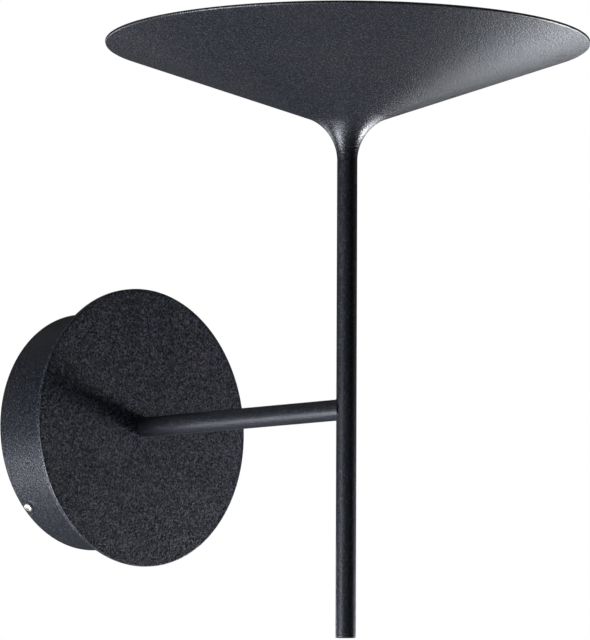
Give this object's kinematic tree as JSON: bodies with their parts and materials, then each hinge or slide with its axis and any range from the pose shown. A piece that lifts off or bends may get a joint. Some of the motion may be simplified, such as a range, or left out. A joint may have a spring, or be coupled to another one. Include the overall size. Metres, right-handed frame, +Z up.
{
  "type": "led wall light",
  "caption": "Wall-mounted uplight: round canopy with an overhanging front plate, straight arm, slim vertical stem and a shallow trumpet shade with an opal diffuser.",
  "frame": {"origin": "middle of the wall plate on the wall, on the axis of the arm", "axes": "+Z up, +Y into the wall, so the light stands out along -Y; X runs along the wall"},
  "size_m": [0.288, 0.37, 0.353],
  "materials": {
    "black_powder_coat": "fine-textured satin powder coat",
    "nickel_screw": "nickel-plated, slightly brushed",
    "zinc_steel": "zinc-plated, dull",
    "small_hardware": "plated steel",
    "turned_brass": "turned, unpolished",
    "grommet_rubber": "matt",
    "driver_plastic": "moulded, fine-grained",
    "terminal_plastic": "moulded nylon",
    "pressed_aluminium": "pressed, satin",
    "pad_grey": "matt",
    "board_white": "white solder resist on aluminium",
    "led_phosphor": "phosphor gel",
    "opal_acrylic": "opal, satin",
    "lead_white": "sheath, satin",
    "wire_brown": "insulation, satin",
    "wire_blue": "insulation, satin",
    "wire_green_yellow": "insulation, satin",
    "earth_green": "green-passivated steel"
  },
  "bodies": {
    "root": {"wall_plate": "zinc_steel", "cable_grommet": "grommet_rubber", "canopy_drum": "black_powder_coat", "front_plate": "black_powder_coat", "canopy_screws": "nickel_screw", "driver_case": "driver_plastic", "driver_screws": "small_hardware", "terminal_block": "terminal_plastic", "terminal_screws": "small_hardware", "block_fixing_screw": "small_hardware", "earth_screw": "earth_green", "earth_washer": "small_hardware", "earth_tag": "turned_brass", "earth_wire": "wire_green_yellow", "live_wire": "wire_brown", "neutral_wire": "wire_blue", "arm_tube": "black_powder_coat", "arm_nipple": "turned_brass", "arm_washer": "small_hardware", "arm_nut": "zinc_steel", "stem_tube": "black_powder_coat", "stem_end_cap": "black_powder_coat", "stem_bush": "turned_brass", "shade_shell": "black_powder_coat", "neck_bush": "turned_brass", "shade_nipple": "turned_brass", "shade_washer": "small_hardware", "shade_nut": "zinc_steel", "led_carrier": "pressed_aluminium", "thermal_pad": "pad_grey", "led_board": "board_white", "led_chips": "led_phosphor", "led_connector": "terminal_plastic", "board_screws": "small_hardware", "diffuser_seat": "black_powder_coat", "diffuser": "opal_acrylic", "diffuser_retainer": "black_powder_coat", "retainer_screws": "small_hardware", "led_lead": "lead_white"}
  },
  "joints": []
}
